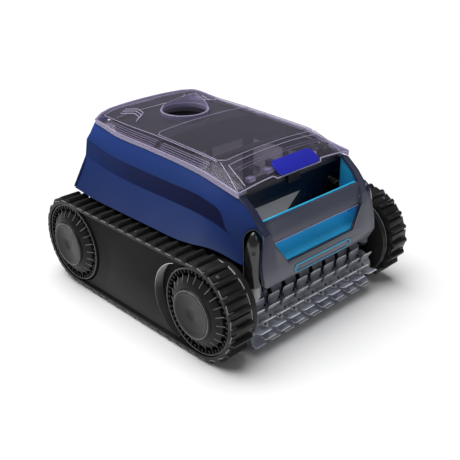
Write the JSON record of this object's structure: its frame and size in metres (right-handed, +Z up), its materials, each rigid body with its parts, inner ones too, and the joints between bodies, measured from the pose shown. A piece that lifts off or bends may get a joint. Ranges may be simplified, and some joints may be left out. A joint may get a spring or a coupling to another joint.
{
  "type": "robotic pool cleaner",
  "caption": "Cordless tracked pool-cleaning robot with a clear hinged lid, lift-out filter basket, carrying rail and a front scrubbing brush.",
  "frame": {"origin": "on the floor under the middle of the machine's plan outline", "axes": "+Z up, the front with the brush and the windows faces -Y, right seen from the front is +X"},
  "size_m": [0.4036, 0.4516, 0.2853],
  "materials": {
    "shell_blue": "satin moulded",
    "fascia_grey": "satin moulded",
    "hull_navy": "moulded",
    "liner_cyan": "gloss moulded",
    "trim_cyan": "gloss",
    "black_plastic": "fine texture",
    "track_rubber": "moulded rubber",
    "wheel_plastic": "moulded",
    "hub_plastic": "satin",
    "brush_rubber": "soft rubber",
    "brush_tube": "moulded",
    "lid_clear": "smoked clear",
    "badge_blue": "gloss",
    "pod_black": "high gloss",
    "pod_tip_grey": "satin",
    "steel": "stainless",
    "motor_can": "drawn can",
    "battery_sleeve": "shrink sleeve",
    "board_green": "solder mask",
    "float_foam": "closed-cell foam",
    "filter_navy": "translucent moulded",
    "filter_mesh": "woven mesh",
    "seal_rubber": "soft",
    "gear_acetal": "acetal"
  },
  "bodies": {
    "hull": {"axle_bushes": "gear_acetal", "battery_pack": "battery_sleeve", "brush_bearings": "gear_acetal", "charge_port": "black_plastic", "chassis_tub": "hull_navy", "control_board": "board_green", "corner_pod_left": "pod_black", "corner_pod_right": "pod_black", "deck_frame": "black_plastic", "drive_guard_left": "black_plastic", "drive_guard_right": "black_plastic", "drive_motors": "motor_can", "fascia_strip": "trim_cyan", "float_blocks": "float_foam", "front_fascia": "fascia_grey", "front_liner": "liner_cyan", "front_stub_axles": "steel", "hinge_pin": "steel", "lid_seal": "seal_rubber", "motor_block": "black_plastic", "motor_block_cover": "black_plastic", "outlet_grille": "black_plastic", "pod_cradles": "hull_navy", "pod_tips": "pod_tip_grey", "pump_motor": "motor_can", "rail_lip": "trim_cyan", "rear_shell": "shell_blue", "screws": "steel", "side_cover_left": "black_plastic", "side_cover_right": "black_plastic", "side_shell_left": "shell_blue", "side_shell_right": "shell_blue", "track_left": "track_rubber", "track_right": "track_rubber", "turbine_duct": "black_plastic"},
    "front_left_wheel": {"wheel_front_left": "wheel_plastic", "hub_cap_front_left": "hub_plastic"},
    "rear_left_wheel": {"wheel_rear_left": "wheel_plastic", "hub_cap_rear_left": "hub_plastic", "drive_shaft_left": "steel"},
    "front_right_wheel": {"wheel_front_right": "wheel_plastic", "hub_cap_front_right": "hub_plastic"},
    "rear_right_wheel": {"wheel_rear_right": "wheel_plastic", "hub_cap_rear_right": "hub_plastic", "drive_shaft_right": "steel"},
    "brush": {"brush_core": "brush_tube", "brush_shaft": "steel", "brush_paddles": "brush_rubber", "brush_pinion": "gear_acetal"},
    "impeller": {"impeller": "black_plastic"},
    "lid": {"lid": "lid_clear", "outlet_cowl": "lid_clear", "badge_plate": "badge_blue", "vent_racks": "lid_clear"},
    "latch": {"lid_latch": "hull_navy"},
    "filter": {"filter_frame": "filter_navy", "filter_mesh": "filter_mesh"},
    "inlet_flap": {"inlet_flap": "seal_rubber"},
    "charge_cap": {"charge_cap": "seal_rubber"},
    "power_button": {"power_button": "hub_plastic"}
  },
  "joints": [
    {"name": "rear_left_wheel_spin", "type": "hinge", "parent": "hull", "child": "rear_left_wheel", "pos_m": [0, 0.15, 0.0758], "axis": [1, 0, 0], "continuous": true},
    {"name": "front_left_wheel_spin", "type": "hinge", "parent": "hull", "child": "front_left_wheel", "pos_m": [0, -0.15, 0.0758], "axis": [1, 0, 0], "continuous": true},
    {"name": "brush_spin", "type": "hinge", "parent": "hull", "child": "brush", "pos_m": [0, -0.17586, 0.0402], "axis": [1, 0, 0], "continuous": true},
    {"name": "rear_right_wheel_spin", "type": "hinge", "parent": "hull", "child": "rear_right_wheel", "pos_m": [0, 0.15, 0.0758], "axis": [1, 0, 0], "continuous": true},
    {"name": "front_right_wheel_spin", "type": "hinge", "parent": "hull", "child": "front_right_wheel", "pos_m": [0, -0.15, 0.0758], "axis": [1, 0, 0], "continuous": true},
    {"name": "impeller_spin", "type": "hinge", "parent": "hull", "child": "impeller", "pos_m": [0, 0.0845, 0.17], "axis": [0, 0, 1], "continuous": true},
    {"name": "lid_hinge", "type": "hinge", "parent": "hull", "child": "lid", "pos_m": [0, 0.186, 0.25], "axis": [-1, 0, 0], "range_deg": [0, 95]},
    {"name": "filter_lift", "type": "slide", "parent": "hull", "child": "filter", "axis": [0, 0, 1], "range_m": [0, 0.105]},
    {"name": "inlet_flap_swing", "type": "hinge", "parent": "filter", "child": "inlet_flap", "pos_m": [0, -0.055, 0.0654], "axis": [-1, 0, 0], "range_deg": [0, 60]},
    {"name": "latch_pivot", "type": "hinge", "parent": "lid", "child": "latch", "pos_m": [0, -0.1502, 0.2312], "axis": [-1, 0, 0], "range_deg": [0, 12], "stiffness_Nm_per_rad": 0.2},
    {"name": "charge_cap_hinge", "type": "hinge", "parent": "hull", "child": "charge_cap", "pos_m": [-0.052, 0.1824, 0.2294], "axis": [1, 0, 0], "range_deg": [0, 100]},
    {"name": "power_button_press", "type": "slide", "parent": "hull", "child": "power_button", "axis": [0, -1, 0], "range_m": [0, 0.002], "stiffness_N_per_m": 600}
  ],
  "couplings": [
    {"joint": "front_left_wheel_spin", "follows": "rear_left_wheel_spin", "ratio": 1},
    {"joint": "brush_spin", "follows": "rear_left_wheel_spin", "ratio": 4.1429},
    {"joint": "front_right_wheel_spin", "follows": "rear_right_wheel_spin", "ratio": 1},
    {"joint": "filter_lift", "follows": "lid_hinge", "m_per_rad": 0.06}
  ]
}
